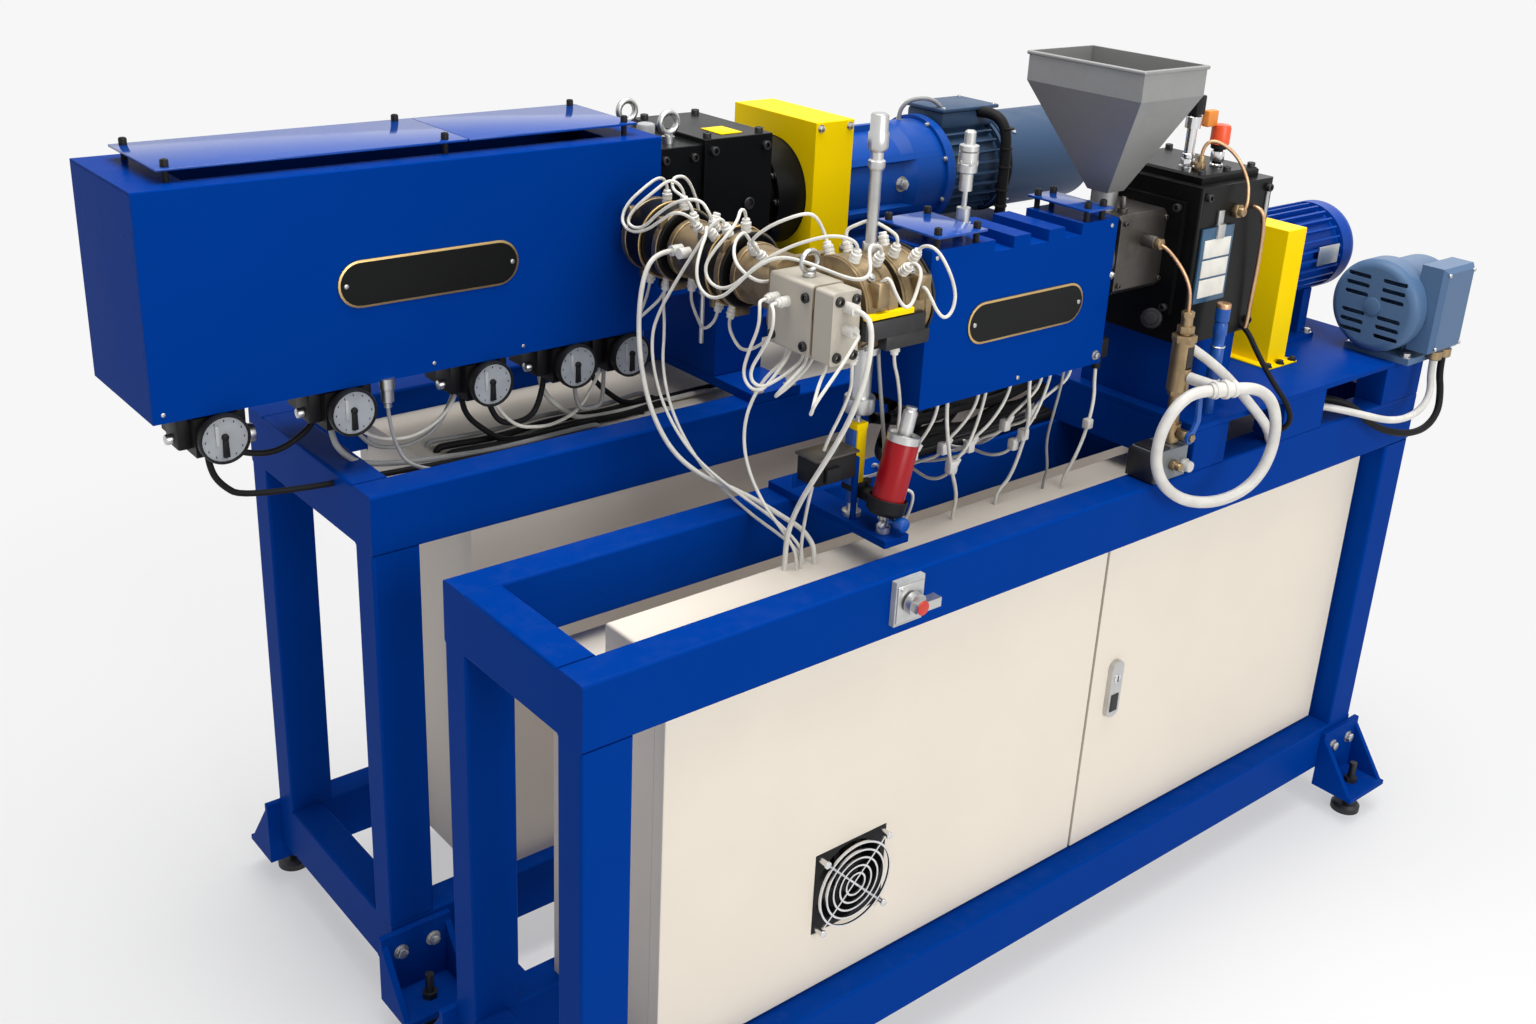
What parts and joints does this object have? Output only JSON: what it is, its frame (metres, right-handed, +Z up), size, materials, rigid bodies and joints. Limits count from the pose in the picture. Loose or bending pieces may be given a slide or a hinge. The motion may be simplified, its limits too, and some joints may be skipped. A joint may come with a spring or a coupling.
{
  "type": "tandem laboratory plastic extruder",
  "caption": "Tandem plastic extruder: a hopper-fed front screw unit sends melt through a heated pipe to a rear unit, on linked tube frames with a cabinet.",
  "frame": {"origin": "On the floor, in the middle of the underside of the front unit's left front levelling foot.", "axes": "+X runs along the screws from the melt pipe to the drives, +Y from the front unit to the rear unit, +Z is up."},
  "size_m": [1.836, 0.9898, 1.302],
  "materials": {
    "frame_blue": "glossy royal blue enamel",
    "cover_blue": "royal blue powder coat",
    "cream_paint": "satin cream enamel",
    "guard_yellow": "satin yellow enamel",
    "gearbox_black": "satin black paint",
    "reducer_blue": "blue machine enamel",
    "motor_grey_blue": "grey-blue machine enamel",
    "machined_steel": "machined steel",
    "stainless_sheet": "polished stainless sheet",
    "heater_plate_grey": "grey sheet over mica",
    "heater_bronze": "heat-tinted bronze sheet",
    "ceramic_white": "glazed white ceramic",
    "brass": "plain brass",
    "can_red": "red enamel",
    "black_plastic": "black plastic",
    "switch_grey": "light grey plastic",
    "hose_white": "off-white hose and sleeving",
    "lead_black": "black rubber"
  },
  "bodies": {
    "machine": {"adapter_block": "machined_steel", "adapter_heater_plates": "heater_plate_grey", "auxiliary_motor": "reducer_blue", "auxiliary_terminal_box": "reducer_blue", "barrel_support": "machined_steel", "barrels": "machined_steel", "coolant_hose": "hose_white", "cooling_actuators": "gearbox_black", "coupling_bell": "gearbox_black", "coupling_guards": "guard_yellow", "cross_bar": "frame_blue", "deck_plate": "frame_blue", "deck_posts": "frame_blue", "door_hinge_pins": "machined_steel", "drive_stands": "frame_blue", "fan_finger_guard": "black_plastic", "fan_housing": "black_plastic", "feed_block": "machined_steel", "foot_brackets": "frame_blue", "frame_end_rails": "frame_blue", "frame_legs": "frame_blue", "frame_link_bars": "frame_blue", "frame_long_rails": "frame_blue", "front_barrel_guard": "cover_blue", "front_cabinet_duct": "cream_paint", "front_cabinet_walls": "cream_paint", "front_fixed_panel": "cream_paint", "front_gearbox": "gearbox_black", "front_motor": "reducer_blue", "gearbox_lid": "gearbox_black", "grease_can": "can_red", "guard_vent_plates": "cover_blue", "heater_bands": "heater_bronze", "heater_lead_long": "hose_white", "heater_lead_plate": "hose_white", "hopper": "stainless_sheet", "hose_tee": "hose_white", "levelling_feet": "machined_steel", "lifting_eyes": "machined_steel", "main_switch_plate": "switch_grey", "melt_pipe": "machined_steel", "motor_lead_black": "lead_black", "motor_lead_white": "hose_white", "pressure_sensors": "machined_steel", "rear_barrel_guard": "cover_blue", "rear_cabinet": "cream_paint", "rear_gearbox": "gearbox_black", "rear_motor": "motor_grey_blue", "rear_motor_cowl": "motor_grey_blue", "rear_pedestal_plate": "frame_blue", "rear_pedestal_posts": "frame_blue", "rear_reducer": "reducer_blue", "strainer_column": "brass", "terminal_caps": "ceramic_white", "water_manifold": "machined_steel"},
    "cabinet_door": {"cabinet_door": "cream_paint", "door_lock_handle": "black_plastic"},
    "main_switch": {"main_switch_handle": "black_plastic"},
    "cabinet_fan": {"fan_rotor": "black_plastic"},
    "water_valve": {"water_valve_lever": "reducer_blue"}
  },
  "joints": [
    {"name": "door_hinge", "type": "hinge", "parent": "machine", "child": "cabinet_door", "pos_m": [1.476, 0.085, 0.4165], "axis": [0, 0, 1], "range_deg": [0, 90]},
    {"name": "main_switch_turn", "type": "hinge", "parent": "machine", "child": "main_switch", "pos_m": [0.417, 0.024, 0.722], "axis": [0, 1, 0], "range_deg": [0, 90]},
    {"name": "fan_spin", "type": "hinge", "parent": "machine", "child": "cabinet_fan", "pos_m": [0.397, 0.096, 0.309], "axis": [0, 1, 0], "continuous": true},
    {"name": "water_valve_turn", "type": "hinge", "parent": "machine", "child": "water_valve", "pos_m": [0.934, 0.034, 0.815], "axis": [0, 1, 0], "range_deg": [0, 90]}
  ]
}
